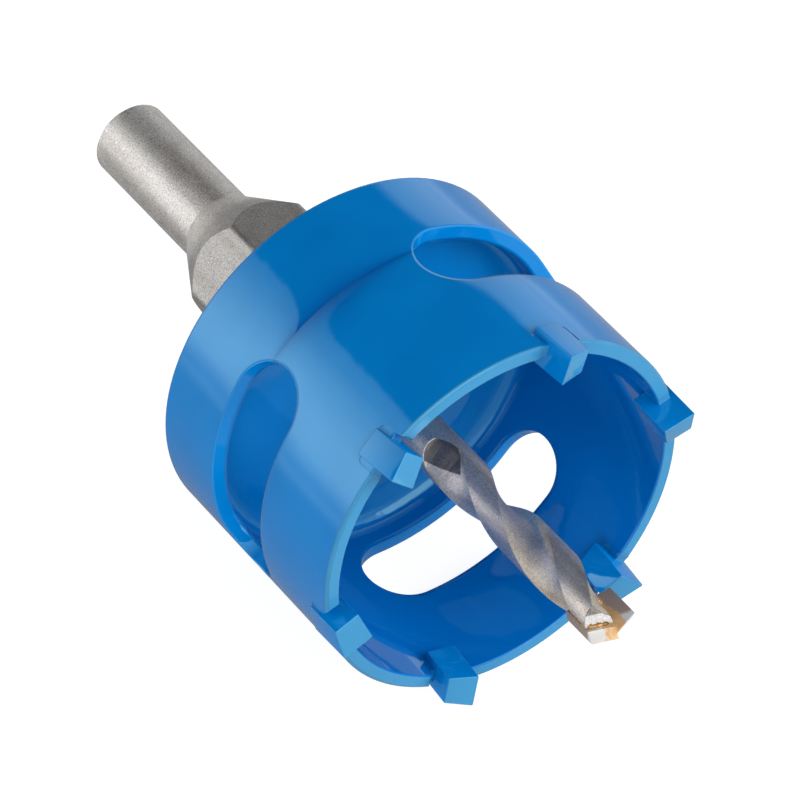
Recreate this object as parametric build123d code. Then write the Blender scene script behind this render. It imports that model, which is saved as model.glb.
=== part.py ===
from build123d import *
import math
import os

# Hole saw with its arbor and pilot drill, in millimetres and degrees.
# The tool axis is +X, from the shank's free end face at the origin towards the drill point.
# The saw lies on its side: +Z is up, and directions round the axis are angles from +Z,
# clockwise as seen from the drill point.

# Cup
side_clearance = 0.9     # teeth stand this far out past the wall
wall = 2.4               # wall thickness
cup_height = 44.9        # back face to rim
base_thickness = 8.7     # solid base
base_chamfer = 1.7       # inside, between base and wall
back_chamfer = 0.5       # outer edge of the back face
rim_chamfer_out = 0.5    # outer edge of the rim
rim_chamfer_in = 0.25    # inner edge of the rim

# Slots through the wall
slot_count = 3
slot_width = 13.4        # along the axis, at the outside of the wall
slot_arc = 40.3          # overall length along the outside of the wall
slot_middle = 20.4       # from the back face to the middle of the slot
slot_lag = 24.9          # slot's middle behind a tooth's leading face, degrees
slot_draft = 0.2         # the slot is this much narrower all round at the inside of the wall

# Teeth and their pockets
tooth_count = 6
cut_diameter = 65.0      # over the leading outer corners
tooth_width = 4.7        # leading face to trailing face
tooth_overhang = 2.15    # leading face inwards past the wall
tooth_rise = 4.55        # cutting edge above the rim
tooth_seat = 3.8         # back face below the rim
tooth_skew = 5.3         # lean of the tooth about its radial line
tooth_relief = 13.0      # fall of the top from the leading face
tooth_dish = 4.0         # fall of the top from its outer edge inwards
rest_roll = 5.0          # the saw lies rolled this far past the touch of a tooth on the floor
side_taper_out = 0.6     # outer side closer to the axis at the trailing face
side_taper_in = 0.35     # inner side further from the axis at the trailing face
pocket_gap = 1.05        # pocket wall to tooth, and the pocket's corner radius
pocket_flare = 0.7       # rounded mouth of the pocket

# Arbor
shank_diameter = 13.0
shank_length = 27.5      # cylindrical stretch
shank_chamfer = 0.8
cone_half_angle = 27.5
collar_length = 33.8     # from the end of the cylinder to the cup's back face
hex_width = 22.0         # across flats
hex_round = 1.4          # rounded long edges of the hexagon
hex_turn = 10.3          # direction of one flat's normal
spigot_diameter = 16.0   # threaded end inside the cup's base
spigot_recess = 0.6      # spigot's end below the inside of the base
spigot_chamfer = 0.8

# Pilot drill
drill_diameter = 7.6
drill_grip = 22.4        # length held in the arbor behind the cup's back face
core_radius = 1.65       # half of the web between the flutes
flute_open = 110.0       # flute's opening at the outside, degrees
flute_start = 32.5       # full depth starts here, from the cup's back face
runout_radius = 6.0      # grinding wheel that ends the flute
pitch = 47.0             # one turn of the flute
point_reach = 28.0       # plate's outer corners past the rim
steel_drop = 0.55        # steel at the point below the plate's cutting edges
steel_bevel = 34.0       # slope of the steel's end behind the cutting edges

# Carbide plate in the drill's point
plate_diameter = 8.0
plate_thickness = 1.85
plate_height = 6.3       # side edge below the outer corner
point_slope = 20.0       # cutting edges fall this much from the middle outwards
plate_relief = 25.0      # slope of the plate's top behind its cutting edges
plate_turn = 90.8        # direction of one half of the plate
land_lead = 26.6         # land's leading edge ahead of the plate's middle at the corners
gash_depth = 4.6         # rake face laid bare below the outer corner
gash_from = 0.25         # from the axis outwards

# Grub screw
screw_diameter = 6.0
screw_behind = 11.3      # screw's axis behind the cup's back face
screw_turn = 2           # on this flat of the hexagon, counted from hex_turn
screw_sunk = 0.7         # below the hexagon's flat
socket_width = 3.0
socket_depth = 2.6
seat_depth = 0.5         # flat ground on the drill's shank for the screw's tip
seat_length = 9.0

# Clearances
turn_clearance = 0.05    # radial, round the drill's shank and the screw
thread_clearance = 0.1   # radial, round the spigot
end_clearance = 0.3      # behind the drill's back end
over = 5.0               # cutters reach this far past what they cut

# Places that follow from the sizes
cut_r = cut_diameter / 2
cup_r = cut_r - side_clearance
inner_r = cup_r - wall
shoulder_x = shank_length + collar_length
rim_x = shoulder_x + cup_height
floor_x = shoulder_x + base_thickness
spigot_r = spigot_diameter / 2
drill_r = drill_diameter / 2
plate_r = plate_diameter / 2
screw_r = screw_diameter / 2
corner_x = rim_x + point_reach
drill_back_x = shoulder_x - drill_grip
seat_r = drill_r - seat_depth
screw_x = shoulder_x - screw_behind
screw_alpha = hex_turn + 60 * screw_turn

# The saw rests on the cup's wall, rolled past the touch of one tooth's back corner
corner_back = tooth_seat * math.sin(math.radians(tooth_skew))
corner_r = math.hypot(cut_r, corner_back)
roll = math.degrees(math.acos(cup_r / corner_r) + math.atan2(corner_back, cut_r)) + rest_roll


def section_plane(x):
    """Cross-section at x: local X is +Y, local Y is up, local Z is the tool axis."""
    return Plane(origin=(x, 0, 0), x_dir=(0, 1, 0), z_dir=(1, 0, 0))


def at_angle(x, alpha):
    """Place at x whose local Y is the radial direction alpha and local X clockwise."""
    return section_plane(x).location * Rot(Z=-alpha)


def turned(*points):
    """Solid turned from a closed profile of (x, radius) points."""
    return revolve(Plane.XZ * make_face(Polyline(*points, close=True)), axis=Axis.X)


def slot_cutter():
    """Slot through the wall, tapered inwards, in the frame of at_angle with local Z axial."""
    half = slot_width / 2
    low = inner_r - wall
    high = cup_r + wall
    low_half = half - 2 * slot_draft
    high_half = half + slot_draft
    sweep = math.degrees(slot_arc / cup_r) - 2 * math.degrees(math.asin(half / cup_r))
    section = Polyline((low, low_half), (high, high_half), (high, -high_half), (low, -low_half), close=True)
    band = revolve(Plane.XZ * make_face(section), axis=Axis.Z, revolution_arc=sweep)
    band = Rot(Z=90 - sweep / 2) * band
    end = Pos(0, (low + high) / 2, 0) * Rot(X=-90) * Cone(low_half, high_half, high - low)
    return band + Rot(Z=sweep / 2) * end + Rot(Z=-sweep / 2) * end


def pocket_cutter():
    """Notch for a tooth, drawn on the rim plane's tangent and cut radially outwards."""
    s = math.sin(math.radians(tooth_skew))
    c = math.cos(math.radians(tooth_skew))
    left = -pocket_gap
    right = tooth_width + pocket_gap
    low = -tooth_seat
    reach = 2 * pocket_flare
    outline = FilletPolyline(
        (left * c + low * s, low * c - left * s),
        (right * c + low * s, low * c - right * s),
        (right / c, 0),
        (right / c + reach, 0),
        (right / c + reach, over),
        (left / c - reach, over),
        (left / c - reach, 0),
        (left / c, 0),
        radius=[pocket_gap, pocket_gap, pocket_flare, 0, 0, 0, 0, pocket_flare],
        close=True,
    )
    return extrude(Plane.XZ * make_face(outline), amount=-(cup_r + over))


def tooth_alpha(index):
    """Direction of a tooth's leading face; the fifth one is next to the floor."""
    return 180 + roll + 360 / tooth_count * (index - 4)


def make_cup():
    body = turned(
        (shoulder_x, spigot_r + thread_clearance),
        (shoulder_x, cup_r - back_chamfer),
        (shoulder_x + back_chamfer, cup_r),
        (rim_x - rim_chamfer_out, cup_r),
        (rim_x, cup_r - rim_chamfer_out),
        (rim_x, inner_r + rim_chamfer_in),
        (rim_x - rim_chamfer_in, inner_r),
        (floor_x + base_chamfer, inner_r),
        (floor_x, inner_r - base_chamfer),
        (floor_x, spigot_r + thread_clearance),
    )
    slot = slot_cutter()
    slots = []
    for index in range(slot_count):
        alpha = tooth_alpha(1) + slot_lag + 360 / slot_count * index
        slots.append(at_angle(shoulder_x + slot_middle, alpha) * slot)
    pocket = pocket_cutter()
    pockets = [at_angle(rim_x, tooth_alpha(index)) * pocket for index in range(tooth_count)]
    return body - slots - pockets


def make_tooth(index):
    """Carbide tooth on its pocket's floor, with side tapers and a ground top."""
    low_in = inner_r - tooth_overhang
    outline = Polyline(
        (0, low_in),
        (tooth_width, low_in + side_taper_in),
        (tooth_width, cut_r - side_taper_out),
        (0, cut_r),
        close=True,
    )
    blank = Pos(0, 0, -tooth_seat) * extrude(make_face(outline), amount=tooth_seat + 2 * tooth_rise)
    grind = Pos(0, cut_r, tooth_rise) * Rot(Y=tooth_relief) * Rot(X=tooth_dish)
    top = grind * Pos(0, 0, tooth_rise) * Box(6 * tooth_width, 6 * tooth_width, 2 * tooth_rise)
    return at_angle(rim_x, tooth_alpha(index)) * Rot(Y=tooth_skew) * (blank - top)


def make_arbor():
    """Shank, cone and hexagon in one piece, bored for the drill, with a screwed spigot."""
    shank_r = shank_diameter / 2
    apothem = hex_width / 2
    corner = apothem / math.cos(math.radians(30))
    cone_end = shank_length + (corner - shank_r) / math.tan(math.radians(cone_half_angle))
    blank = turned(
        (shank_length, 0),
        (shank_length, shank_r),
        (cone_end, corner),
        (shoulder_x, corner),
        (shoulder_x, 0),
    )
    hexagon = RegularPolygon(apothem, 6, major_radius=False)
    hexagon = fillet(hexagon.vertices(), hex_round)
    prism = extrude(at_angle(shank_length, hex_turn) * hexagon, amount=collar_length)
    shank = turned(
        (0, 0),
        (0, shank_r - shank_chamfer),
        (shank_chamfer, shank_r),
        (shank_length, shank_r),
        (shank_length, 0),
    )
    body = shank + (blank & prism)
    spigot_end = floor_x - spigot_recess
    spigot = Cylinder(spigot_r, spigot_end - shoulder_x, align=(Align.CENTER, Align.CENTER, Align.MIN))
    spigot = chamfer(spigot.edges().group_by(Axis.Z)[-1], spigot_chamfer)
    body = body + section_plane(shoulder_x).location * spigot
    bore_x = drill_back_x - end_clearance
    bore = Cylinder(drill_r + turn_clearance, spigot_end + over - bore_x, align=(Align.CENTER, Align.CENTER, Align.MIN))
    body = body - section_plane(bore_x).location * bore
    hole = Rot(X=-90) * Cylinder(screw_r + turn_clearance, corner + over, align=(Align.CENTER, Align.CENTER, Align.MIN))
    return body - at_angle(screw_x, screw_alpha) * hole


def make_grub_screw():
    """Set screw on the drill's flat, sunk under the hexagon's flat, with a hex socket."""
    length = hex_width / 2 - screw_sunk - seat_r
    body = Cylinder(screw_r, length, align=(Align.CENTER, Align.CENTER, Align.MIN))
    body = chamfer(body.edges().group_by(Axis.Z)[0], 0.1 * screw_diameter)
    socket = RegularPolygon(socket_width / 2, 6, major_radius=False)
    body = body - extrude(Pos(0, 0, length - socket_depth) * socket, amount=socket_depth)
    return at_angle(screw_x, screw_alpha) * Pos(0, seat_r, 0) * Rot(X=-90) * body


def flute_outline():
    """Closed flute section, open outwards along local Y, with a radial wall under the cutting edge.

    The other side is one straight floor from the heel, tangent to the web's circle, down to the
    foot of the radial wall.
    """
    half = math.radians(flute_open / 2)
    dip = math.asin(core_radius / drill_r) - math.pi / 2 + half
    foot_r = core_radius / math.cos(dip + half)
    reach = over / 2
    wall_x = math.sin(half)
    wall_y = math.cos(half)
    return Polyline(
        (foot_r * wall_x, foot_r * wall_y),
        ((drill_r + reach) * wall_x, (drill_r + reach) * wall_y),
        ((drill_r + reach) * wall_x, drill_r + reach),
        (-drill_r * wall_x - reach * math.cos(dip), drill_r + reach),
        (-drill_r * wall_x - reach * math.cos(dip), drill_r * wall_y - reach * math.sin(dip)),
        close=True,
    )


def flute_alpha(x):
    """Direction of a flute's middle at x."""
    land = 180 - flute_open
    return plate_turn - land_lead + land + flute_open / 2 - 360 / pitch * (x - corner_x)


def plate_frame():
    """Frame of the plate: local X along the plate's width, local Y its leading side."""
    return section_plane(corner_x).location * Rot(Z=90 - plate_turn)


def point_cut(drop, slope):
    """What lies above the two relief planes of a point, each on its own half of the plate."""
    size = 8 * drill_r
    rise = plate_r * math.tan(math.radians(point_slope))
    block = Pos(0, 0, size / 2) * Box(2 * size, 2 * size, size)
    edge = Pos(0, plate_thickness / 2, rise - drop)
    tilt = Rot(Y=point_slope) * Rot(X=slope)
    one = edge * tilt * block & Pos(size, 0, 0) * Box(2 * size, 4 * size, 4 * size)
    return one + Rot(Z=180) * one


def make_pilot_drill():
    """Round shank, two flutes with ground run-outs, and a slotted point."""
    start_x = shoulder_x + flute_start
    length = corner_x + plate_r - start_x
    flute = make_face(flute_outline())
    section = Circle(drill_r) - flute - Rot(Z=180) * flute
    placed = at_angle(start_x, flute_alpha(start_x)) * section
    twist = 360 / pitch * length
    fluted = Solid.extrude_linear_with_rotation(
        placed.face(), (start_x, 0, 0), (length, 0, 0), twist
    )
    shank = Cylinder(drill_r, start_x - drill_back_x, align=(Align.CENTER, Align.CENTER, Align.MIN))
    shank = section_plane(drill_back_x).location * shank
    for turn in (0, 180):
        shank = shank - at_angle(start_x, flute_alpha(start_x) + turn) * runout()
    seat = Box(seat_length, seat_length, 2 * seat_depth)
    seat = at_angle(screw_x, screw_alpha) * Pos(0, drill_r, 0) * Rot(X=90) * seat
    body = Part() + shank + fluted - seat
    slot = Box(4 * drill_r, plate_thickness, plate_height + 4 * drill_r)
    slot = plate_frame() * Pos(0, 0, -plate_height + (plate_height + 4 * drill_r) / 2) * slot
    body = body - slot
    body = body - plate_frame() * point_cut(steel_drop, steel_bevel)
    gash = Pos(gash_from, plate_thickness / 2, -gash_depth) * Box(
        over, over, gash_depth + over, align=(Align.MIN, Align.MIN, Align.MIN)
    )
    return body - plate_frame() * gash - plate_frame() * Rot(Z=180) * gash


def runout():
    """Grinding wheel where a flute ends: the flute's section turned about a cross axis."""
    wheel_r = runout_radius
    profile = make_face(flute_outline())
    profile = Pos(0, -core_radius - wheel_r) * profile
    wheel = revolve(profile, axis=Axis.X, revolution_arc=360)
    return Pos(0, core_radius + wheel_r, 0) * wheel


def make_drill_plate():
    """Carbide plate whose two cutting edges meet over the axis."""
    half = math.sqrt(plate_r**2 - (plate_thickness / 2) ** 2)
    rise = plate_r * math.tan(math.radians(point_slope))
    height = plate_height + rise
    blank = Pos(0, 0, -plate_height + height / 2) * Box(2 * half, plate_thickness, height)
    return plate_frame() * (blank - point_cut(0, plate_relief))


os.makedirs("parts", exist_ok=True)
export_step(make_cup(), "parts/cup.step")
for number in range(tooth_count):
    export_step(make_tooth(number), f"parts/tooth_{number + 1}.step")
export_step(make_arbor(), "parts/arbor.step")
export_step(make_pilot_drill(), "parts/pilot_drill.step")
export_step(make_drill_plate(), "parts/drill_plate.step")
export_step(make_grub_screw(), "parts/grub_screw.step")
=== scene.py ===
"""Looks, light and camera for a carbide-tipped hole saw that lies on its side.

The tool axis is +X, towards the drill point, and +Z is up. Directions round the axis are
angles from +Z, clockwise as seen from the drill point, so the direction of an angle a is
(0, sin a, cos a). Sizes are in millimetres and become metres where a mesh or lamp is made.
"""

import logging
import math
from dataclasses import dataclass, field
from enum import Enum

import bmesh
import bpy
import numpy as np
from mathutils import Matrix


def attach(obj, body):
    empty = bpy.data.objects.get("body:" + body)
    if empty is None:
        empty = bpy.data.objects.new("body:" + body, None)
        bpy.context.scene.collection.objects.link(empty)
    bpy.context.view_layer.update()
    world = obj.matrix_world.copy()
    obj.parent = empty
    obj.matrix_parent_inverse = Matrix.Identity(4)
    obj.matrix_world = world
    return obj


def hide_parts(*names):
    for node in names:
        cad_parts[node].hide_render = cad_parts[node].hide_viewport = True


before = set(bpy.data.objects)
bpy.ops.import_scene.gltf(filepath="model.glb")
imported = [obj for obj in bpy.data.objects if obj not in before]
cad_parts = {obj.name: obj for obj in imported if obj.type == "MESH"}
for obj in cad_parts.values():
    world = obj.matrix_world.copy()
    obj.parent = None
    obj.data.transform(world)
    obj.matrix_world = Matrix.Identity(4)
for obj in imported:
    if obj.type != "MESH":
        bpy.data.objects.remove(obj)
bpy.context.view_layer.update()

LOG = logging.getLogger("hole_saw")
MM = 0.001

Point = tuple[float, float, float]
Colour = tuple[float, float, float]
Socket = bpy.types.NodeSocket
Tree = bpy.types.NodeTree


class Surface(Enum):
    """The finishes that a piece of the saw can have."""

    CUP_PAINT = "blue_paint"
    PAINT = "blue_paint_plain"
    BLASTED = "blasted_steel"
    DRILL = "drill_steel"
    CARBIDE = "carbide"
    BRAZE = "braze"
    BLACKENED = "black_steel"


# Sizes that follow the solids, in millimetres and degrees

BACK_X = 61.3
RIM_X = 106.2
CUP_R = 31.6
INNER_R = 29.2
FLOOR_X = 70.0
CORNER_R = 2.9
TIP_X = 134.2
FIRST_TOOTH = -40.85
TOOTH_SPACING = 60.0
FIRST_SLOT = 44.0
SLOT_SPACING = 120.0
SLOT_STRAIGHT = 13.45
SLOT_R = 6.7
SLOT_X = 20.4
CREASE_X = 17.25
PLATE_TURN = 90.8
# The planes of the drill's end facets meet the tool axis here
FACETS_MEET = TIP_X + 0.244
# What a facet falls by for each millimetre along and across the plate
PLATE_SLOPE = 0.364
FACET_SLOPE = 0.718
# Directions (y, z) towards a flute's middle and across it, where the flutes run out
FLUTE_FRONT = (-0.44, 0.898)
FLUTE_ASIDE = (0.895, 0.4445)
# Where the dark part of a run-out ends, how far that is beside the flute's middle, and how
# fast its end slants away on either side
RUN_OUT_X = 96.2
RUN_OUT_SHIFT = 0.15
RUN_OUT_SLANTS = (2.51, 1.18)
# The shank's brightness goes over into the collar's between these two places
COLLAR_X = (30.0, 35.0)

# Relief of the cup's paint, in millimetres

PEEL_DEPTH = 0.07
BORDER_DEPTH = 0.16
BORDER_RATE = 0.45
CREASE_WIDTH = 0.34
CREASE_SPREAD = 0.17
CREASE_DEPTH = 0.09
TURNING_DEPTH = 0.06
# Depth at the middle of a rounding, as a share of its radius
ROUNDING_DEPTH = 0.41

# Angle between two faces, in degrees, from which their edge is rounded or kept sharp
EDGE_ANGLE = 20.0


# Shader node helpers


def rgba(colour: Colour) -> tuple[float, float, float, float]:
    """Colour with full alpha."""
    return (*colour, 1.0)


def new_group(name: str, inputs: dict[str, tuple[str, object]], outputs: dict[str, str]) -> Tree:
    """Makes an empty shader node group with typed sockets.

    Args:
        name: the group's name.
        inputs: socket name to its type and default value.
        outputs: socket name to its type.

    Returns:
        The node tree, with its input and output nodes in place.
    """
    tree = bpy.data.node_groups.new(name, "ShaderNodeTree")
    for label, (kind, value) in inputs.items():
        socket = tree.interface.new_socket(name=label, in_out="INPUT", socket_type=kind)
        socket.default_value = value
    for label, kind in outputs.items():
        tree.interface.new_socket(name=label, in_out="OUTPUT", socket_type=kind)
    tree.nodes.new("NodeGroupInput").name = "In"
    tree.nodes.new("NodeGroupOutput").name = "Out"
    return tree


def feed(tree: Tree, value: object, socket: Socket) -> None:
    """Links a socket to an input, or sets the input to a plain value."""
    if isinstance(value, bpy.types.NodeSocket):
        tree.links.new(value, socket)
    else:
        socket.default_value = value


def math_node(
    tree: Tree, operation: str, first: object, second: object = 0.5, third: object = 0.5
) -> Socket:
    """Adds a Math node fed by sockets or numbers.

    Args:
        tree: node tree that gets the node.
        operation: Blender's name of the operation.
        first: first operand, a socket or a number.
        second: second operand.
        third: third operand, where the operation has one.

    Returns:
        The node's output socket.
    """
    node = tree.nodes.new("ShaderNodeMath")
    node.operation = operation
    for socket, value in zip(node.inputs, (first, second, third)):
        feed(tree, value, socket)
    return node.outputs[0]


def vector_node(
    tree: Tree, operation: str, first: Socket, second: object = None, scale: object = None
) -> bpy.types.Node:
    """Adds a Vector Math node.

    Args:
        tree: node tree that gets the node.
        operation: Blender's name of the operation.
        first: first vector.
        second: second vector, a socket or three numbers.
        scale: factor for the SCALE operation, a socket or a number.

    Returns:
        The node.
    """
    node = tree.nodes.new("ShaderNodeVectorMath")
    node.operation = operation
    tree.links.new(first, node.inputs[0])
    for number, value in ((1, second), (3, scale)):
        if value is not None:
            feed(tree, value, node.inputs[number])
    return node


def noise_node(
    tree: Tree, vector: Socket, scale: object, detail: float, roughness: float = 0.55
) -> Socket:
    """Adds a Noise Texture and returns its Fac socket.

    Args:
        tree: node tree that gets the node.
        vector: coordinates.
        scale: cells per unit of the coordinates, a socket or a number.
        detail: octaves.
        roughness: weight of the finer octaves.

    Returns:
        The noise value, about 0.5 on average.
    """
    node = tree.nodes.new("ShaderNodeTexNoise")
    tree.links.new(vector, node.inputs["Vector"])
    feed(tree, scale, node.inputs["Scale"])
    node.inputs["Detail"].default_value = detail
    node.inputs["Roughness"].default_value = roughness
    return node.outputs["Fac"]


def band(tree: Tree, value: Socket, low: float, high: float) -> Socket:
    """Smooth step from 0 at low to 1 at high, which may be the smaller of the two."""
    node = tree.nodes.new("ShaderNodeMapRange")
    node.interpolation_type = "SMOOTHSTEP"
    tree.links.new(value, node.inputs["Value"])
    turned = low > high
    node.inputs["From Min"].default_value = high if turned else low
    node.inputs["From Max"].default_value = low if turned else high
    node.inputs["To Min"].default_value = 1.0 if turned else 0.0
    node.inputs["To Max"].default_value = 0.0 if turned else 1.0
    return node.outputs["Result"]


def mix_colour(tree: Tree, factor: object, first: object, second: object) -> Socket:
    """Mixes two colours.

    Args:
        tree: node tree that gets the node.
        factor: share of the second colour, a socket or a number.
        first: first colour, a socket or RGBA values.
        second: second colour, a socket or RGBA values.

    Returns:
        The mixed colour's socket.
    """
    node = tree.nodes.new("ShaderNodeMix")
    node.data_type = "RGBA"
    for number, value in ((0, factor), (6, first), (7, second)):
        feed(tree, value, node.inputs[number])
    return node.outputs[2]


def split(tree: Tree, vector: Socket) -> tuple[Socket, Socket, Socket]:
    """The three parts of a vector."""
    node = tree.nodes.new("ShaderNodeSeparateXYZ")
    tree.links.new(vector, node.inputs[0])
    return node.outputs[0], node.outputs[1], node.outputs[2]


def millimetres(tree: Tree, place: Socket) -> tuple[Socket, Socket, Socket]:
    """The three object coordinates in millimetres."""
    return split(tree, vector_node(tree, "SCALE", place, scale=1.0 / MM).outputs[0])


def off_axis(tree: Tree, y: Socket, z: Socket) -> Socket:
    """Distance from the tool axis."""
    squares = math_node(tree, "MULTIPLY_ADD", y, y, math_node(tree, "MULTIPLY", z, z))
    return math_node(tree, "SQRT", squares)


def bump_node(tree: Tree, height: Socket, distance: float, strength: float = 1.0) -> Socket:
    """Bump from a height, with the distance in metres that a height of 1 stands for."""
    node = tree.nodes.new("ShaderNodeBump")
    node.inputs["Strength"].default_value = strength
    node.inputs["Distance"].default_value = distance
    tree.links.new(height, node.inputs["Height"])
    return node.outputs["Normal"]


def place_group(tree: Tree, group: Tree, values: dict[str, object]) -> bpy.types.Node:
    """Puts a node group into a tree.

    Args:
        tree: node tree that gets the group.
        group: the group.
        values: input name to a socket or a number.

    Returns:
        The group node.
    """
    node = tree.nodes.new("ShaderNodeGroup")
    node.node_tree = group
    for label, value in values.items():
        feed(tree, value, node.inputs[label])
    return node


def new_material(name: str) -> tuple[bpy.types.Material, Tree, bpy.types.Node, Socket]:
    """Makes a material with nodes.

    Args:
        name: the material's name.

    Returns:
        The material, its node tree, its shader and the object coordinates.
    """
    mat = bpy.data.materials.new(name)
    mat.use_nodes = True
    tree = mat.node_tree
    place = tree.nodes.new("ShaderNodeTexCoord").outputs["Object"]
    return mat, tree, tree.nodes["Principled BSDF"], place


def rounded_corner(tree: Tree, first: Socket, second: Socket, radius: float) -> Socket:
    """Height that makes a square edge look rounded.

    With first and second the depths past the lines where the rounding starts on the two
    faces, both held between 0 and the radius, the height is radius - hypot(first, second),
    and 0 where either depth is negative.

    Args:
        tree: node tree that gets the nodes.
        first: depth past the rounding's start on one face.
        second: the same on the other face.
        radius: radius of the rounding.

    Returns:
        The height, 0 on the faces and below 0 near the edge.
    """
    parts = []
    for value in (first, second):
        held = math_node(tree, "MINIMUM", math_node(tree, "MAXIMUM", value, 0.0), radius)
        parts.append(math_node(tree, "MULTIPLY", held, held))
    length = math_node(tree, "SQRT", math_node(tree, "ADD", parts[0], parts[1]))
    height = math_node(tree, "SUBTRACT", radius, length)
    gate = math_node(
        tree,
        "MULTIPLY",
        math_node(tree, "GREATER_THAN", first, 0.0),
        math_node(tree, "GREATER_THAN", second, 0.0),
    )
    return math_node(tree, "MULTIPLY", height, gate)


# Shared effects


def cup_relief_group() -> Tree:
    """Relief of the painted cup: rounded edges, a hollow corner at the base, slot borders.

    All in millimetres. With r the distance from the axis, a the distance from the back face
    and s the arc from the nearest slot's middle, the distance from a slot's outline is
    hypot(max(s - SLOT_STRAIGHT, 0), a - SLOT_X) - SLOT_R. Towards a slot the wall sinks by
    BORDER_DEPTH * exp(-BORDER_RATE * distance), and a crease runs on from each end of a
    slot, CREASE_WIDTH wide at first and wider by CREASE_SPREAD for each millimetre.
    """
    # Besides the height, the outputs are masks for painted light: the share of painted highlight
    # on the rounded edges, the share of painted shade in the creases and that on the inner wall.
    outputs = ("Height", "EdgeHighlight", "Crease", "Inside")
    tree = new_group(
        "CupRelief",
        {"Vector": ("NodeSocketVector", (0.0, 0.0, 0.0))},
        dict.fromkeys(outputs, "NodeSocketFloat"),
    )
    get, put = tree.nodes["In"], tree.nodes["Out"]
    x, y, z = millimetres(tree, get.outputs["Vector"])
    r = off_axis(tree, y, z)
    angle = math_node(tree, "ARCTAN2", y, z)
    turned = math_node(tree, "SUBTRACT", angle, math.radians(FIRST_SLOT))
    limit = math.radians(SLOT_SPACING / 2.0)
    aside = math_node(tree, "WRAP", turned, limit, -limit)
    arc = math_node(tree, "MULTIPLY", math_node(tree, "ABSOLUTE", aside), CUP_R)
    past = math_node(tree, "MAXIMUM", math_node(tree, "SUBTRACT", arc, SLOT_STRAIGHT), 0.0)
    along = math_node(tree, "SUBTRACT", x, BACK_X + SLOT_X)
    square = math_node(tree, "MULTIPLY_ADD", past, past, math_node(tree, "MULTIPLY", along, along))
    gap = math_node(tree, "SUBTRACT", math_node(tree, "SQRT", square), SLOT_R)

    def outside(radius: float) -> Socket:
        """Depth past the rounding's start, outwards."""
        return math_node(tree, "SUBTRACT", r, CUP_R - radius)

    def inside(radius: float) -> Socket:
        """Depth past the rounding's start, inwards."""
        return math_node(tree, "SUBTRACT", INNER_R + radius, r)

    # Depths past the rounding's start on both faces, its radius, and its share of painted
    # highlight
    corners = (
        (math_node(tree, "SUBTRACT", 0.32, gap), outside(0.32), 0.32, 0.55),
        (math_node(tree, "SUBTRACT", 0.5, gap), inside(0.5), 0.5, 0.0),
        (math_node(tree, "SUBTRACT", x, RIM_X - 0.5), outside(0.5), 0.5, 1.0),
        (math_node(tree, "SUBTRACT", x, RIM_X - 0.4), inside(0.4), 0.4, 0.7),
        (math_node(tree, "SUBTRACT", BACK_X + 0.8, x), outside(0.8), 0.8, 0.4),
    )
    # edge gathers the share of painted highlight, strongest at the middle of a rounding
    height, edge = 0.0, 0.0
    for first, second, radius, highlight_share in corners:
        corner = rounded_corner(tree, first, second, radius)
        height = math_node(tree, "ADD", corner, height)
        share = math_node(tree, "MULTIPLY", corner, -highlight_share / (ROUNDING_DEPTH * radius))
        edge = math_node(tree, "MAXIMUM", share, edge)

    off = math_node(tree, "MAXIMUM", gap, 0.0)
    sunk = math_node(tree, "EXPONENT", math_node(tree, "MULTIPLY", off, -BORDER_RATE))
    height = math_node(tree, "MULTIPLY_ADD", sunk, -BORDER_DEPTH, height)

    beyond = math_node(tree, "SUBTRACT", arc, SLOT_STRAIGHT + SLOT_R)
    length = math_node(tree, "MAXIMUM", beyond, 0.0)
    spread = math_node(tree, "MULTIPLY_ADD", length, CREASE_SPREAD, CREASE_WIDTH)
    from_line = math_node(tree, "ABSOLUTE", math_node(tree, "SUBTRACT", x, BACK_X + CREASE_X))
    widths = math_node(tree, "DIVIDE", from_line, spread)
    near = math_node(tree, "EXPONENT", math_node(tree, "MULTIPLY", widths, -1.0))
    crease = math_node(tree, "MULTIPLY", near, band(tree, beyond, -0.9, -0.4))
    crease = math_node(tree, "MULTIPLY", crease, band(tree, r, CUP_R - 0.5, CUP_R - 0.1))
    deep = math_node(tree, "MULTIPLY", spread, -CREASE_DEPTH)
    height = math_node(tree, "ADD", height, math_node(tree, "MULTIPLY", crease, deep))

    within = math_node(tree, "LESS_THAN", r, INNER_R + 0.3)
    hollow = rounded_corner(
        tree,
        math_node(tree, "SUBTRACT", r, INNER_R - CORNER_R),
        math_node(tree, "SUBTRACT", FLOOR_X + CORNER_R, x),
        CORNER_R,
    )
    height = math_node(tree, "SUBTRACT", height, math_node(tree, "MULTIPLY", hollow, within))

    lines = tree.nodes.new("ShaderNodeTexNoise")
    lines.noise_dimensions = "1D"
    tree.links.new(math_node(tree, "SUBTRACT", x, r), lines.inputs["W"])
    lines.inputs["Scale"].default_value = 4.0
    lines.inputs["Detail"].default_value = 2.0
    near_floor = band(tree, x, FLOOR_X + 3.2, FLOOR_X + 1.8)
    near_wall = band(tree, r, INNER_R - 4.0, INNER_R - 2.6)
    deep_in = math_node(tree, "MULTIPLY", near_floor, near_wall)
    deep_in = math_node(tree, "MULTIPLY", deep_in, within)
    turning = math_node(tree, "MULTIPLY", lines.outputs["Fac"], deep_in)
    height = math_node(tree, "MULTIPLY_ADD", turning, TURNING_DEPTH, height)

    # The inner wall, which gets painted shade
    wall = math_node(
        tree,
        "MULTIPLY",
        band(tree, r, INNER_R + 0.3, INNER_R + 0.1),
        band(tree, r, INNER_R - 1.0, INNER_R - 0.3),
    )
    for label, value in zip(outputs, (height, edge, crease, wall)):
        tree.links.new(value, put.inputs[label])
    return tree


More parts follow.
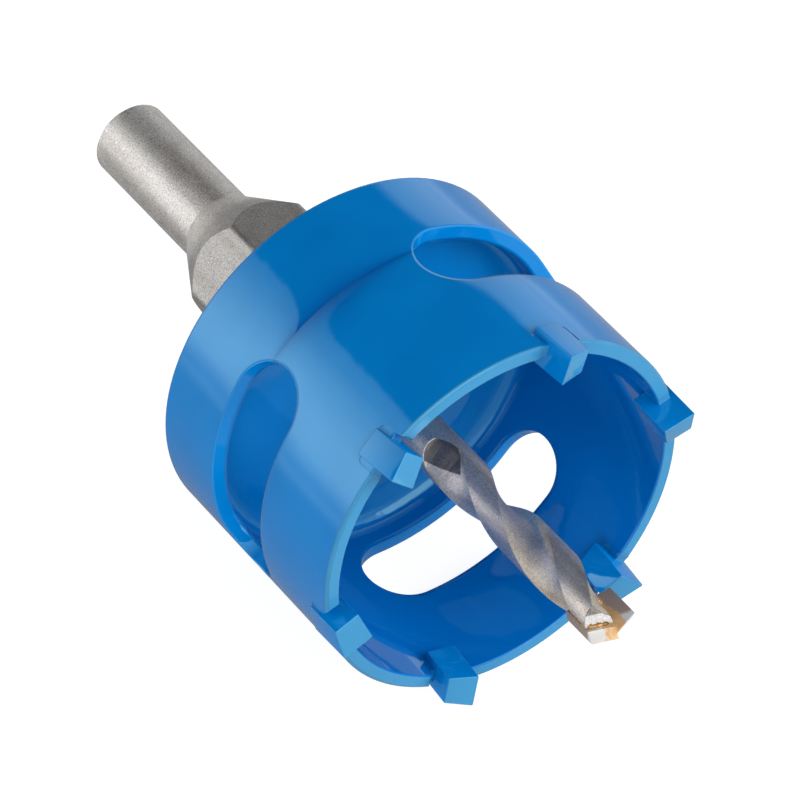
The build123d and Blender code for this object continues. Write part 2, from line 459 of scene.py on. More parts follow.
def orange_peel_group() -> Tree:
    """Skin of sprayed paint: a slow wave, a fine ripple and a slow change of tone."""
    tree = new_group(
        "OrangePeel",
        {"Vector": ("NodeSocketVector", (0.0, 0.0, 0.0))},
        {"Height": "NodeSocketFloat", "Tone": "NodeSocketFloat"},
    )
    get, put = tree.nodes["In"], tree.nodes["Out"]
    slow = noise_node(tree, get.outputs["Vector"], 60.0, 2.0)
    fine = noise_node(tree, get.outputs["Vector"], 520.0, 1.0)
    tree.links.new(math_node(tree, "MULTIPLY_ADD", fine, 0.12, slow), put.inputs["Height"])
    tree.links.new(band(tree, slow, 0.3, 0.72), put.inputs["Tone"])
    return tree


def grain_group() -> Tree:
    """Blasted grain: fine pits and a slow mottle, as a height and a brightness factor."""
    tree = new_group(
        "BlastedGrain",
        {
            "Vector": ("NodeSocketVector", (0.0, 0.0, 0.0)),
            "Grain": ("NodeSocketFloat", 3000.0),
            "Mottle": ("NodeSocketFloat", 0.12),
        },
        {"Height": "NodeSocketFloat", "Shade": "NodeSocketFloat", "Patch": "NodeSocketFloat"},
    )
    get, put = tree.nodes["In"], tree.nodes["Out"]
    fine = noise_node(tree, get.outputs["Vector"], get.outputs["Grain"], 3.0, 0.65)
    coarse = noise_node(tree, get.outputs["Vector"], 420.0, 2.0)
    both = math_node(tree, "MULTIPLY_ADD", coarse, 0.12, fine)
    speck = math_node(tree, "SUBTRACT", both, 0.56)
    tree.links.new(both, put.inputs["Height"])
    shade = math_node(tree, "MULTIPLY_ADD", speck, get.outputs["Mottle"], 1.0)
    tree.links.new(shade, put.inputs["Shade"])
    tree.links.new(band(tree, coarse, 0.35, 0.7), put.inputs["Patch"])
    return tree


# Finishes


@dataclass(frozen=True)
class Effects:
    """The shared node groups, each built once."""

    relief: Tree
    peel: Tree
    grain: Tree


@dataclass(frozen=True)
class PaintFinish:
    """Gloss enamel over turned steel, and over the brazed teeth."""

    name: str
    on_cup: bool
    colour: Colour = (0.0, 0.170, 0.50)
    deep: Colour = (0.0, 0.148, 0.455)
    # Painted highlight on the cup's rounded edges
    painted_edge_highlight: Colour = (0.32, 0.78, 1.0)
    # Painted light: a lighter, more cyan tone on the faces that look ahead
    front: Colour = (0.035, 0.20, 0.39)
    # Painted shade on the cup's inner wall
    inner: Colour = (0.0, 0.118, 0.42)
    shadow: Colour = (0.0, 0.07, 0.30)
    glint: Colour = (0.5, 1.0, 1.0)
    roughness: float = 0.045
    index: float = 1.75
    # Shares of the painted edge highlight: a soft one over each rounding and a line at its middle
    edge_highlight_soft: float = 0.14
    edge_highlight_line: float = 0.7
    crease_dark: float = 0.9

    def material(self, effects: Effects) -> bpy.types.Material:
        """Builds the paint.

        The front tint is painted light: the rim's and the teeth's faces that look ahead turn
        lighter and more cyan. The cup also gets its relief, painted highlights on its rounded
        edges, painted shade on its inside and painted shade in its creases.

        Args:
            effects: the shared node groups.

        Returns:
            The material.
        """
        mat, tree, shader, place = new_material(self.name)
        peel = place_group(tree, effects.peel, {"Vector": place})
        tint = mix_colour(tree, peel.outputs["Tone"], rgba(self.colour), rgba(self.deep))
        height = math_node(tree, "MULTIPLY", peel.outputs["Height"], PEEL_DEPTH)
        # Painted light: faces that look ahead, at the rim and the teeth, turn lighter and more
        # cyan
        facing = split(tree, tree.nodes.new("ShaderNodeNewGeometry").outputs["True Normal"])[0]
        ahead = band(tree, split(tree, place)[0], (RIM_X - 0.7) * MM, (RIM_X - 0.5) * MM)
        front = math_node(tree, "MULTIPLY", band(tree, facing, 0.55, 0.68), ahead)
        tint = mix_colour(tree, front, tint, rgba(self.front))
        if self.on_cup:
            relief = place_group(tree, effects.relief, {"Vector": place})
            height = math_node(tree, "ADD", height, relief.outputs["Height"])
            # Painted highlight along the rounded edges
            soft = math_node(tree, "MULTIPLY", relief.outputs["EdgeHighlight"], self.edge_highlight_soft)
            line = band(tree, relief.outputs["EdgeHighlight"], 0.72, 0.95)
            edge = math_node(tree, "MULTIPLY_ADD", line, self.edge_highlight_line, soft)
            # Painted shade on the inner wall
            tint = mix_colour(tree, relief.outputs["Inside"], tint, rgba(self.inner))
            tint = mix_colour(tree, edge, tint, rgba(self.painted_edge_highlight))
            dark = math_node(tree, "MULTIPLY", relief.outputs["Crease"], self.crease_dark)
            tint = mix_colour(tree, dark, tint, rgba(self.shadow))
        tree.links.new(tint, shader.inputs["Base Color"])
        tree.links.new(bump_node(tree, height, MM), shader.inputs["Normal"])
        shader.inputs["Roughness"].default_value = self.roughness
        shader.inputs["IOR"].default_value = self.index
        shader.inputs["Specular Tint"].default_value = rgba(self.glint)
        return mat


@dataclass(frozen=True)
class SteelFinish:
    """Bare steel with a blasted or ground grain."""

    name: str
    colour: Colour
    warm: Colour
    roughness: float
    grain: float
    depth: float
    mottle: float
    ground: bool = False
    collar: float = 1.0
    run_out: Colour = (0.075, 0.078, 0.088)
    end: Colour = (0.60, 0.59, 0.58)
    end_rim: Colour = (0.25, 0.24, 0.23)
    run_out_share: float = 0.9
    bump: float = 0.7
    patch: float = 0.06

    def drill_marks(self, tree: Tree, place: Socket, tint: Socket) -> Socket:
        """Darkens the flutes' run-outs and evens out the point's freshly ground end.

        The sign of front tells one flute from the other, and aside is the place across the
        flute. A run-out is dark up to two slanting lines that meet at RUN_OUT_X, a little
        beside the flute's middle. The end facets lie in the planes
        x = FACETS_MEET - PLATE_SLOPE |y| - FACET_SLOPE |z|.

        Args:
            tree: the material's node tree.
            place: object coordinates.
            tint: the steel's colour so far.

        Returns:
            The colour with both marks.
        """
        x, y, z = millimetres(tree, place)
        inside = band(tree, off_axis(tree, y, z), 3.77, 3.70)
        front = math_node(tree, "MULTIPLY", y, FLUTE_FRONT[0])
        front = math_node(tree, "MULTIPLY_ADD", z, FLUTE_FRONT[1], front)
        aside = math_node(tree, "MULTIPLY", z, FLUTE_ASIDE[1])
        aside = math_node(tree, "MULTIPLY_ADD", y, FLUTE_ASIDE[0], aside)
        flute = math_node(tree, "SIGN", front)
        aside = math_node(tree, "MULTIPLY_ADD", aside, flute, RUN_OUT_SHIFT)
        left = math_node(tree, "MINIMUM", aside, 0.0)
        left = math_node(tree, "MULTIPLY", left, RUN_OUT_SLANTS[0])
        right = math_node(tree, "MAXIMUM", aside, 0.0)
        right = math_node(tree, "MULTIPLY", right, RUN_OUT_SLANTS[1])
        past = math_node(tree, "ADD", math_node(tree, "SUBTRACT", x, left), right)
        start = band(tree, past, RUN_OUT_X + 0.2, RUN_OUT_X - 0.2)
        share = math_node(tree, "MULTIPLY", inside, start)
        share = math_node(tree, "MULTIPLY", share, self.run_out_share)
        dark = mix_colour(tree, share, tint, rgba(self.run_out))
        high, wide = math_node(tree, "ABSOLUTE", z), math_node(tree, "ABSOLUTE", y)
        fall = math_node(tree, "MULTIPLY", wide, PLATE_SLOPE)
        fall = math_node(tree, "MULTIPLY_ADD", high, FACET_SLOPE, fall)
        above = math_node(tree, "ADD", x, fall)
        fresh = band(tree, above, FACETS_MEET - 0.18, FACETS_MEET - 0.05)
        outer = band(tree, high, 2.3, 2.45)
        ground = mix_colour(tree, outer, rgba(self.end), rgba(self.end_rim))
        return mix_colour(tree, fresh, dark, ground)

    def material(self, effects: Effects) -> bpy.types.Material:
        """Builds the steel, with its brightness changed by the factor collar past the shoulder.

        Args:
            effects: the shared node groups.

        Returns:
            The material.
        """
        mat, tree, shader, place = new_material(self.name)
        grain = place_group(
            tree, effects.grain, {"Vector": place, "Grain": self.grain, "Mottle": self.mottle}
        )
        drawn = vector_node(tree, "MULTIPLY", place, (40.0, 400.0, 400.0)).outputs[0]
        warmth = band(tree, noise_node(tree, drawn, 1.0, 2.0), 0.42, 0.72)
        tint = mix_colour(tree, warmth, rgba(self.colour), rgba(self.warm))
        if self.ground:
            tint = self.drill_marks(tree, place, tint)
        past = band(tree, split(tree, place)[0], COLLAR_X[0] * MM, COLLAR_X[1] * MM)
        shade = math_node(tree, "MULTIPLY_ADD", past, self.collar - 1.0, 1.0)
        shade = math_node(tree, "MULTIPLY", shade, grain.outputs["Shade"])
        shaded = vector_node(tree, "SCALE", tint, scale=shade).outputs[0]
        tree.links.new(shaded, shader.inputs["Base Color"])
        relief = bump_node(tree, grain.outputs["Height"], self.depth, self.bump)
        tree.links.new(relief, shader.inputs["Normal"])
        patch = grain.outputs["Patch"]
        rough = math_node(tree, "MULTIPLY_ADD", patch, self.patch, self.roughness)
        tree.links.new(rough, shader.inputs["Roughness"])
        shader.inputs["Metallic"].default_value = 0.88 if self.ground else 1.0
        return mat


@dataclass(frozen=True)
class CarbideFinish:
    """Ground carbide, tarnished by brazing heat, with braze smeared over its top."""

    colour: Colour = (0.80, 0.78, 0.75)
    tarnish: Colour = (0.42, 0.31, 0.25)
    braze: Colour = (0.80, 0.46, 0.18)
    metallic: float = 0.6
    roughness: float = 0.42

    def material(self, effects: Effects) -> bpy.types.Material:
        """Builds the carbide.

        Args:
            effects: the shared node groups.

        Returns:
            The material.
        """
        mat, tree, shader, place = new_material("TarnishedCarbide")
        x, y, _ = millimetres(tree, place)
        cloud = noise_node(tree, place, 520.0, 3.0)
        spots = noise_node(tree, place, 900.0, 2.0)
        ragged = math_node(tree, "MULTIPLY_ADD", cloud, 1.2, x)
        low = band(tree, ragged, TIP_X + 0.1, TIP_X - 0.7)
        heat = mix_colour(tree, low, rgba(self.colour), rgba(self.tarnish))
        beside = math_node(tree, "MULTIPLY_ADD", spots, 2.8, math_node(tree, "ABSOLUTE", y))
        inner = band(tree, beside, 3.35, 2.6)
        holes = band(tree, noise_node(tree, place, 2200.0, 2.0), 0.62, 0.45)
        patchy = math_node(tree, "MULTIPLY_ADD", holes, 0.3, 0.7)
        smear = math_node(tree, "MULTIPLY", inner, patchy)
        full = mix_colour(tree, smear, heat, rgba(self.braze))
        tree.links.new(full, shader.inputs["Base Color"])
        grain = place_group(tree, effects.grain, {"Vector": place, "Grain": 4000.0})
        relief = bump_node(tree, grain.outputs["Height"], 0.00003, 0.35)
        tree.links.new(relief, shader.inputs["Normal"])
        shader.inputs["Metallic"].default_value = self.metallic
        shader.inputs["Roughness"].default_value = self.roughness
        return mat


@dataclass(frozen=True)
class BrazeFinish:
    """Brass braze, golden where it is clean and brown where flux burnt on it."""

    gold: Colour = (0.66, 0.40, 0.15)
    burnt: Colour = (0.30, 0.14, 0.06)
    metallic: float = 0.9
    roughness: float = 0.33

    def material(self, effects: Effects) -> bpy.types.Material:
        """Builds the braze.

        Args:
            effects: the shared node groups.

        Returns:
            The material.
        """
        mat, tree, shader, place = new_material("Braze")
        cloud = noise_node(tree, place, 800.0, 3.0)
        burn = band(tree, cloud, 0.40, 0.58)
        tree.links.new(
            mix_colour(tree, burn, rgba(self.gold), rgba(self.burnt)), shader.inputs["Base Color"]
        )
        grain = place_group(tree, effects.grain, {"Vector": place, "Grain": 2500.0})
        relief = bump_node(tree, grain.outputs["Height"], 0.00005, 0.5)
        tree.links.new(relief, shader.inputs["Normal"])
        shader.inputs["Metallic"].default_value = self.metallic
        shader.inputs["Roughness"].default_value = self.roughness
        return mat


@dataclass
class Workshop:
    """All the finishes, each built once."""

    blasted: SteelFinish = SteelFinish(
        "BlastedSteel",
        colour=(0.84, 0.815, 0.79),
        warm=(0.70, 0.66, 0.63),
        roughness=0.42,
        grain=4400.0,
        depth=0.00014,
        mottle=2.2,
        collar=0.64,
    )
    drill: SteelFinish = SteelFinish(
        "DrillSteel",
        colour=(0.76, 0.67, 0.575),
        warm=(0.56, 0.48, 0.405),
        roughness=0.33,
        grain=4400.0,
        depth=0.00009,
        mottle=1.7,
        ground=True,
    )
    blackened: SteelFinish = SteelFinish(
        "BlackenedSteel",
        colour=(0.05, 0.05, 0.05),
        warm=(0.03, 0.03, 0.035),
        roughness=0.38,
        grain=3000.0,
        depth=0.00002,
        mottle=0.3,
    )
    made: dict[Surface, bpy.types.Material] = field(default_factory=dict)

    def build(self) -> None:
        """Builds every material."""
        effects = Effects(cup_relief_group(), orange_peel_group(), grain_group())
        self.made[Surface.CUP_PAINT] = PaintFinish("BluePaintOnCup", True).material(effects)
        self.made[Surface.PAINT] = PaintFinish("BluePaint", False).material(effects)
        self.made[Surface.BLASTED] = self.blasted.material(effects)
        self.made[Surface.DRILL] = self.drill.material(effects)
        self.made[Surface.CARBIDE] = CarbideFinish().material(effects)
        self.made[Surface.BRAZE] = BrazeFinish().material(effects)
        self.made[Surface.BLACKENED] = self.blackened.material(effects)

    def dress(self, piece: bpy.types.Object, surface: Surface) -> None:
        """Gives a piece one of the finishes.

        Args:
            piece: the object.
            surface: which finish.
        """
        piece.data.materials.clear()
        piece.data.materials.append(self.made[surface])
        LOG.info("%s: %s", piece.name, surface.value)


# Mesh helpers


def put_in_scene(name: str, data: object) -> bpy.types.Object:
    """Makes an object of a mesh, lamp or camera, and links it to the scene."""
    thing = bpy.data.objects.new(name, data)
    bpy.context.scene.collection.objects.link(thing)
    return thing


def new_piece(name: str, points: np.ndarray, faces: list[list[int]]) -> bpy.types.Object:
    """Makes a smooth-shaded object at the origin.

    Args:
        name: the piece's name.
        points: corner positions in millimetres, n by 3.
        faces: corner numbers of each face, anticlockwise from outside.

    Returns:
        The object.
    """
    mesh = bpy.data.meshes.new(name)
    mesh.from_pydata((points * MM).tolist(), [], faces)
    mesh.polygons.foreach_set("use_smooth", np.ones(len(mesh.polygons), dtype=bool))
    mesh.update()
    return put_in_scene(name, mesh)


def tube_faces(rings: int, around: int) -> list[list[int]]:
    """Faces of a capped tube whose corners are numbered ring by ring.

    Args:
        rings: number of rings.
        around: corners in a ring.

    Returns:
        The quads of the side and the two end caps.
    """
    ring, corner = np.meshgrid(np.arange(rings - 1), np.arange(around), indexing="ij")
    here = ring * around + corner
    beside = ring * around + (corner + 1) % around
    quads = np.stack([here, beside, beside + around, here + around], axis=-1).reshape(-1, 4)
    first, last = np.arange(around)[::-1], (rings - 1) * around + np.arange(around)
    return [*quads.tolist(), first.tolist(), last.tolist()]


def softened_copy(node: str, name: str, width: float, segments: int) -> bpy.types.Object:
    """Copy of a CAD node with narrow rounded edges, or with sharp ones where segments is 0.

    Args:
        node: the CAD node.
        name: the new piece's name.
        width: width of the rounding in millimetres.
        segments: its segments.

    Returns:
        The piece, which replaces the node and rides on the same body.
    """
    mesh = bpy.data.meshes.new(name)
    work = bmesh.new()
    work.from_mesh(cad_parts[node].data)
    bmesh.ops.remove_doubles(work, verts=work.verts, dist=1e-6)
    flat = math.radians(2.0)
    bmesh.ops.dissolve_limit(work, angle_limit=flat, verts=work.verts, edges=work.edges)
    for face in work.faces:
        face.smooth = True
    work.to_mesh(mesh)
    work.free()
    piece = put_in_scene(name, mesh)
    if segments:
        bevel = piece.modifiers.new("edges", "BEVEL")
        bevel.width = width * MM
        bevel.segments = segments
        bevel.limit_method = "ANGLE"
        bevel.angle_limit = math.radians(EDGE_ANGLE)
        bevel.harden_normals = True
    else:
        mesh.set_sharp_from_angle(angle=math.radians(EDGE_ANGLE))
    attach(piece, "root")
    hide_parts(node)
    return piece


# The saw


@dataclass
class Cutter:
    """The painted cup with its six teeth and the braze in their pockets."""

    teeth: int = 6
    tooth_width: float = 4.7
    skew: float = 5.3
    gap: float = 1.05
    seat: float = 4.3
    overlap: float = 0.12
    flush: float = 0.05
    mouth: float = 0.6
    mouth_height: float = 0.9

    def braze_fill(self, number: int, start: float, top: float, dip: float) -> bpy.types.Object:
        """Fills one pocket gap beside a tooth with painted braze.

        The section across the gap is a rounded box: a superellipse of exponent 10 in radius
        and height. It shrinks to its middle by dip * 4 q (1 - q) at the share q of the
        gap's width, so the skin is hollow. Its side at the wall widens by up to mouth with
        the pocket's rounded mouth. A point at radius r and distance t beside the tooth's
        radial line stands sqrt(r squared - t squared) out along that line.

        Args:
            number: the tooth, from 1.
            start: near side of the gap, from the tooth's leading face.
            top: height of the fill above the rim.
            dip: how hollow the skin is.

        Returns:
            The piece.
        """
        rings, around = 9, 40
        across = np.linspace(0.0, 1.0, rings)[:, None]
        turn = np.linspace(0.0, 2.0 * math.pi, around + 1)[None, :-1]
        half_r = (CUP_R - INNER_R) / 2.0 - self.flush
        half_height = (top + self.seat) / 2.0
        sink = dip * 4.0 * across * (1.0 - across)
        power = 2.0 / 10.0
        out = np.sign(np.cos(turn)) * np.abs(np.cos(turn)) ** power
        rise = np.sign(np.sin(turn)) * np.abs(np.sin(turn)) ** power
        radius = (CUP_R + INNER_R) / 2.0 + out * (half_r - 0.35 * sink)
        height = (top - self.seat) / 2.0 + rise * half_height
        height = height - sink * np.clip(rise, 0.0, 1.0)
        mouth = self.mouth * np.clip(1.0 + height / self.mouth_height, 0.0, 1.0) ** 2
        wall = -(1.0 - across) if start < 0 else across
        width = self.gap + 2.0 * self.overlap
        beside = start - self.overlap + across * width + wall * mouth
        lean = math.radians(self.skew)
        side = beside * math.cos(lean) + height * math.sin(lean)
        ahead = height * math.cos(lean) - beside * math.sin(lean)
        away = np.sqrt(radius**2 - side**2)
        angle = math.radians(FIRST_TOOTH + TOOTH_SPACING * (number - 1))
        points = np.stack(
            [
                RIM_X + ahead,
                away * math.sin(angle) + side * math.cos(angle),
                away * math.cos(angle) - side * math.sin(angle),
            ],
            axis=-1,
        ).reshape(-1, 3)
        end = "lead" if start < 0 else "trail"
        piece = new_piece(f"braze_{end}_{number}", points, tube_faces(rings, around))
        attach(piece, "root")
        return piece

    def dress(self, shop: Workshop) -> None:
        """Paints the cup, the teeth and the braze alike."""
        shop.dress(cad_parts["cup"], Surface.CUP_PAINT)
        for number in range(1, self.teeth + 1):
            tooth = softened_copy(f"tooth_{number}", f"painted_tooth_{number}", 0.2, 3)
            shop.dress(tooth, Surface.PAINT)
            shop.dress(self.braze_fill(number, -self.gap, -0.2, 0.06), Surface.PAINT)
            shop.dress(self.braze_fill(number, self.tooth_width, -0.8, 0.08), Surface.PAINT)


@dataclass
class Holder:
    """The arbor with its grub screw."""

    def dress(self, shop: Workshop) -> None:
        """Gives the arbor its blasted skin and the screw its dark one."""
        shop.dress(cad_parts["arbor"], Surface.BLASTED)
        shop.dress(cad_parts["grub_screw"], Surface.BLACKENED)


@dataclass
class Pilot:
    """The pilot drill with its carbide plate and the braze along it."""

    half_width: float = 3.686
    half_thickness: float = 0.925
    steel_top: float = -0.42
    bottom: float = -6.3
    top_bead: float = 0.34
    flank_bead: float = 0.15

    def placed(self, across: np.ndarray, beside: np.ndarray, ahead: np.ndarray) -> np.ndarray:
        """Turns the plate's own coordinates into the saw's.

        Args:
            across: along the plate's width.
            beside: along its thickness, towards the leading side.
            ahead: along the axis, from the plate's outer corners.

        Returns:
            The points, with a last axis of 3.
        """
        turn = math.radians(90.0 - PLATE_TURN)
        cos, sin = math.cos(turn), math.sin(turn)
        y, z = across * cos - beside * sin, across * sin + beside * cos
        return np.stack([TIP_X + ahead, y, z], axis=-1)

    def level_centre(self, drill: bpy.types.Object) -> None:
        """Levels the steel left beside the point's centre with the ground end next to it.

        Corners within 0.4 of the centre line that stand above the end facet's plane,
        ahead = steel_top - FACET_SLOPE (beside - half_thickness), are lowered into it.

        Args:
            drill: the drill's piece.
        """
        count = len(drill.data.vertices)
        flat = np.empty(count * 3, dtype=np.float32)
        drill.data.vertices.foreach_get("co", flat)
        points = flat.reshape(-1, 3).astype(float) / MM
        turn = math.radians(90.0 - PLATE_TURN)
        across = points[:, 1] * math.cos(turn) + points[:, 2] * math.sin(turn)
        beside = points[:, 2] * math.cos(turn) - points[:, 1] * math.sin(turn)
        level = TIP_X + self.steel_top - FACET_SLOPE * (np.abs(beside) - self.half_thickness)
        high = (np.abs(across) < 0.4) & (points[:, 0] > level)
        points[high, 0] = level[high]
        drill.data.vertices.foreach_set("co", (points * MM).astype(np.float32).ravel())
        drill.data.update()
        LOG.info("levelled corners at the point: %d", int(high.sum()))

    def bead(self, name: str, path: np.ndarray, radius: float) -> bpy.types.Object:
        """Bead of braze carried along a path, thicker and thinner on its way.

        The radius at the share q of the way is radius * (1 + 0.3 sin 17 q + 0.2 sin 41 q),
        falling to a third at both ends.

        Args:
            name: the piece's name.
            path: the points of the bead's middle in the plate's coordinates, n by 3.
            radius: its mean radius.

        Returns:
            The piece.
        """
        share = np.linspace(0.0, 1.0, len(path))[:, None]
        around = 14
        turn = np.linspace(0.0, 2.0 * math.pi, around + 1)[None, :-1]
        thick = radius * (1.0 + 0.3 * np.sin(17.0 * share) + 0.2 * np.sin(41.0 * share))
        thick = thick * (0.33 + 0.67 * np.clip(6.0 * np.minimum(share, 1.0 - share), 0.0, 1.0))
        along = np.gradient(path, axis=0)
        along = along / np.linalg.norm(along, axis=1, keepdims=True)
        first = np.cross(along, np.array([0.3, 1.0, 0.2]))
        first = first / np.linalg.norm(first, axis=1, keepdims=True)
        second = np.cross(along, first)
        cos, sin = np.cos(turn)[..., None], np.sin(turn)[..., None]
        skin = cos * first[:, None, :] + sin * second[:, None, :]
        ring = path[:, None, :] + thick[..., None] * skin
        points = self.placed(ring[..., 0], ring[..., 1], ring[..., 2]).reshape(-1, 3)
        piece = new_piece(name, points, tube_faces(len(path), around))
        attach(piece, "root")
        return piece

    def beads(self) -> list[bpy.types.Object]:
        """Makes the beads along the plate: over the steel's end and down its flank."""
        made = []
        share = np.linspace(0.0, 1.0, 25)
        for side, label in ((-1.0, "near"), (1.0, "far")):
            across = side * (0.35 + 3.1 * share)
            above = np.full_like(share, -side * (self.half_thickness + 0.07))
            end = self.steel_top - PLATE_SLOPE * np.abs(across) + 0.05
            top = np.stack([across, above, end], axis=-1)
            made.append(self.bead(f"braze_top_{label}", top, self.top_bead))
            out = np.full_like(share, side * (self.half_width - 0.05))
            beside = np.full_like(share, -side * (self.half_thickness - 0.02))
            shoulder = self.steel_top - PLATE_SLOPE * self.half_width
            down = self.bottom + share * (shoulder - self.bottom)
            flank = np.stack([out, beside, down], axis=-1)
            made.append(self.bead(f"braze_flank_{label}", flank, self.flank_bead))
        return made

    def dress(self, shop: Workshop) -> None:
        """Gives the drill, its plate and the braze their finishes."""
        drill = softened_copy("pilot_drill", "twist_drill", 0.0, 0)
        self.level_centre(drill)
        shop.dress(drill, Surface.DRILL)
        plate = softened_copy("drill_plate", "carbide_plate", 0.06, 2)
        shop.dress(plate, Surface.CARBIDE)
        for bead in self.beads():
            shop.dress(bead, Surface.BRAZE)


# Light and camera


@dataclass(frozen=True)
class Panel:
    """A soft light panel far away, as the world shows it.

    Its brightness is strength * exp(-narrow * (1 - cosine of the angle from its middle)).
    It ends where the ray's height goes from edge[0] to edge[1], and the share low of the
    brightness is left at the horizon.
    """

    middle: Point
    strength: float
    narrow: float
    edge: tuple[float, float]
    low: float

    def glow(self, tree: Tree, direction: Socket) -> Socket:
        """Brightness of the panel in one direction.

        Args:
            tree: the world's node tree.
            direction: where the ray goes.

        Returns:
            The brightness.
        """
        unit = np.array(self.middle) / np.linalg.norm(self.middle)
        cosine = vector_node(tree, "DOT_PRODUCT", direction, tuple(unit.tolist())).outputs["Value"]
        power = math_node(tree, "MULTIPLY_ADD", cosine, self.narrow, -self.narrow)
        lobe = math_node(tree, "MULTIPLY", math_node(tree, "EXPONENT", power), self.strength)
        rise = split(tree, direction)[2]
        shade = band(tree, rise, -0.02, 0.16)
        shade = math_node(tree, "MULTIPLY_ADD", shade, 1.0 - self.low, self.low)
        shaded = math_node(tree, "MULTIPLY", lobe, shade)
        return math_node(tree, "MULTIPLY", shaded, band(tree, rise, self.edge[1], self.edge[0]))


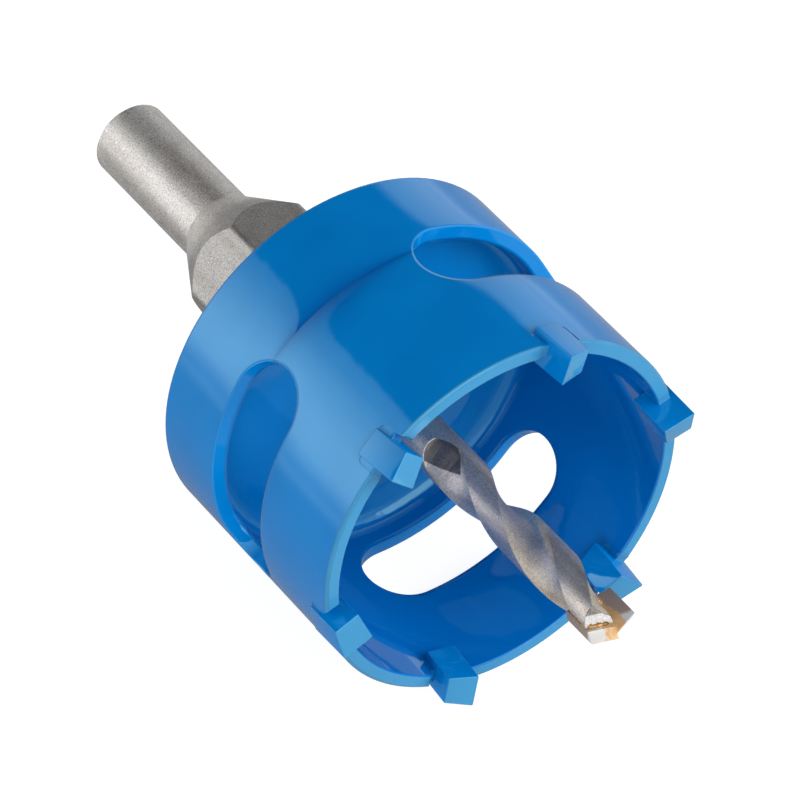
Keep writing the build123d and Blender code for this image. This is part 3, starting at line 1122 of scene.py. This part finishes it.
@dataclass
class Studio:
    """Floor, lamps, world and camera."""

    floor_z: float = -CUP_R * MM
    floor_half: float = 6.0
    floor_seen: float = 0.88
    floor_mirrored: float = 0.13
    floor_far: float = 0.55
    camera_at: Point = (0.592982, -0.2926076, 0.5990761)
    right: Point = (0.5553584, 0.8284466, -0.0724796)
    up: Point = (-0.5627577, 0.4385538, 0.7006956)
    lens: float = 249.92
    aim: Point = (0.08, 0.0, 0.0)
    left_panel: Panel = Panel((-0.62, -0.715, 0.31), 2.4, 9.0, (0.708, 0.724), 0.55)
    right_panel: Panel = Panel((-0.62, 0.78, 0.03), 0.9, 6.0, (0.31, 0.42), 1.0)

    def camera(self) -> None:
        """Sets the camera from the photograph's fitted view."""
        data = bpy.data.cameras.new("Camera")
        data.lens = self.lens
        data.sensor_width = 36.0
        data.clip_start = 0.05
        data.clip_end = 50.0
        camera = put_in_scene("Camera", data)
        across = np.array(self.right)
        upward = np.array(self.up)
        towards = np.cross(across, upward)
        turn = Matrix(np.column_stack([across, upward, towards]).tolist()).to_4x4()
        camera.matrix_world = Matrix.Translation(self.camera_at) @ turn
        bpy.context.scene.camera = camera

    def floor(self) -> None:
        """Lays a wide white floor that lights the saw from below and keeps a faint shadow.

        The camera sees its own glow, and glossy reflections a weaker one, which grows with
        the distance and towards the shank's side.
        """
        mesh = bpy.data.meshes.new("floor")
        half, z = self.floor_half, self.floor_z
        corners = [(-half, -half, z), (half, -half, z), (half, half, z), (-half, half, z)]
        mesh.from_pydata(corners, [], [(0, 1, 2, 3)])
        floor = put_in_scene("floor", mesh)
        mat, tree, shader, place = new_material("PaleFloor")
        shader.inputs["Roughness"].default_value = 0.9
        shader.inputs["Specular IOR Level"].default_value = 0.0
        ray = tree.nodes.new("ShaderNodeLightPath").outputs
        shade = mix_colour(
            tree, ray["Is Diffuse Ray"], rgba((0.25, 0.25, 0.25)), rgba((0.85, 0.85, 0.85))
        )
        tree.links.new(shade, shader.inputs["Base Color"])
        glow = tree.nodes.new("ShaderNodeEmission")
        glow.inputs["Color"].default_value = rgba((1.0, 1.0, 1.0))
        seen = math_node(tree, "MAXIMUM", ray["Is Camera Ray"], ray["Is Transmission Ray"])
        far = band(tree, vector_node(tree, "LENGTH", place).outputs["Value"], 0.12, 0.6)
        far = math_node(tree, "MULTIPLY", far, band(tree, split(tree, place)[0], 0.05, -0.15))
        level = math_node(tree, "MULTIPLY_ADD", far, self.floor_far, self.floor_mirrored)
        mirrored = math_node(tree, "MULTIPLY", ray["Is Glossy Ray"], level)
        strength = math_node(tree, "MULTIPLY_ADD", seen, self.floor_seen, mirrored)
        tree.links.new(strength, glow.inputs["Strength"])
        both = tree.nodes.new("ShaderNodeAddShader")
        tree.links.new(shader.outputs[0], both.inputs[0])
        tree.links.new(glow.outputs[0], both.inputs[1])
        tree.links.new(both.outputs[0], tree.nodes["Material Output"].inputs["Surface"])
        mesh.materials.append(mat)

    def lamp(self, name: str, at: Point, size: float, power: float) -> bpy.types.Object:
        """Hangs a soft square lamp that shines at the saw.

        Args:
            name: the lamp's name.
            at: its place.
            size: width and height.
            power: watts.

        Returns:
            The lamp's object.
        """
        data = bpy.data.lights.new(name, "AREA")
        data.shape = "RECTANGLE"
        data.size, data.size_y = size, size
        data.energy = power
        lamp = put_in_scene(name, data)
        away = np.array(at) - np.array(self.aim)
        away = away / np.linalg.norm(away)
        across = np.cross([0.0, 0.0, 1.0], away)
        across = across / np.linalg.norm(across)
        upward = np.cross(away, across)
        turn = Matrix(np.column_stack([across, upward, away]).tolist()).to_4x4()
        lamp.matrix_world = Matrix.Translation(at) @ turn
        lamp.visible_camera = False
        return lamp

    def world(self) -> None:
        """White to the camera; for light, a dark room with soft panels left and right."""
        world = bpy.data.worlds.new("Room")
        bpy.context.scene.world = world
        world.use_nodes = True
        tree = world.node_tree
        tree.nodes.clear()
        out = tree.nodes.new("ShaderNodeOutputWorld")
        place = tree.nodes.new("ShaderNodeTexCoord").outputs["Generated"]
        direction = vector_node(tree, "NORMALIZE", place).outputs[0]
        x, _, rise = split(tree, direction)
        high = math_node(tree, "MULTIPLY_ADD", band(tree, rise, 0.1, 0.5), 0.62, 0.38)
        ahead = math_node(tree, "MULTIPLY", band(tree, x, -0.3, 0.6), high)
        base = math_node(tree, "MULTIPLY_ADD", ahead, 1.12, 0.02)
        left = self.left_panel.glow(tree, direction)
        right = self.right_panel.glow(tree, direction)
        total = math_node(tree, "ADD", base, math_node(tree, "ADD", left, right))
        room = tree.nodes.new("ShaderNodeBackground")
        tree.links.new(total, room.inputs["Strength"])
        room.inputs["Color"].default_value = rgba((1.0, 1.0, 1.0))
        white = tree.nodes.new("ShaderNodeBackground")
        white.inputs["Color"].default_value = rgba((1.0, 1.0, 1.0))
        white.inputs["Strength"].default_value = 1.0
        ray = tree.nodes.new("ShaderNodeLightPath").outputs
        seen = math_node(tree, "MAXIMUM", ray["Is Camera Ray"], ray["Is Transmission Ray"])
        blend = tree.nodes.new("ShaderNodeMixShader")
        tree.links.new(seen, blend.inputs["Fac"])
        tree.links.new(room.outputs[0], blend.inputs[1])
        tree.links.new(white.outputs[0], blend.inputs[2])
        tree.links.new(blend.outputs[0], out.inputs["Surface"])

    def build(self) -> None:
        """Sets up the whole studio."""
        self.camera()
        self.floor()
        self.world()
        self.lamp("key", (1.2, 0.1, 0.7), 0.9, 3.8)
        self.lamp("right_fill", (0.80, 0.90, 0.30), 0.8, 15.0).visible_glossy = False
        self.lamp("left_fill", (0.74, -0.96, 0.10), 0.8, 9.0).visible_glossy = False
        bpy.context.scene.view_settings.view_transform = "Standard"


def main() -> None:
    """Builds the studio and dresses every piece."""
    logging.basicConfig(level=logging.INFO, format="%(message)s")
    shop = Workshop()
    shop.build()
    Studio().build()
    Cutter().dress(shop)
    Holder().dress(shop)
    Pilot().dress(shop)


if __name__ == "__main__":
    main()
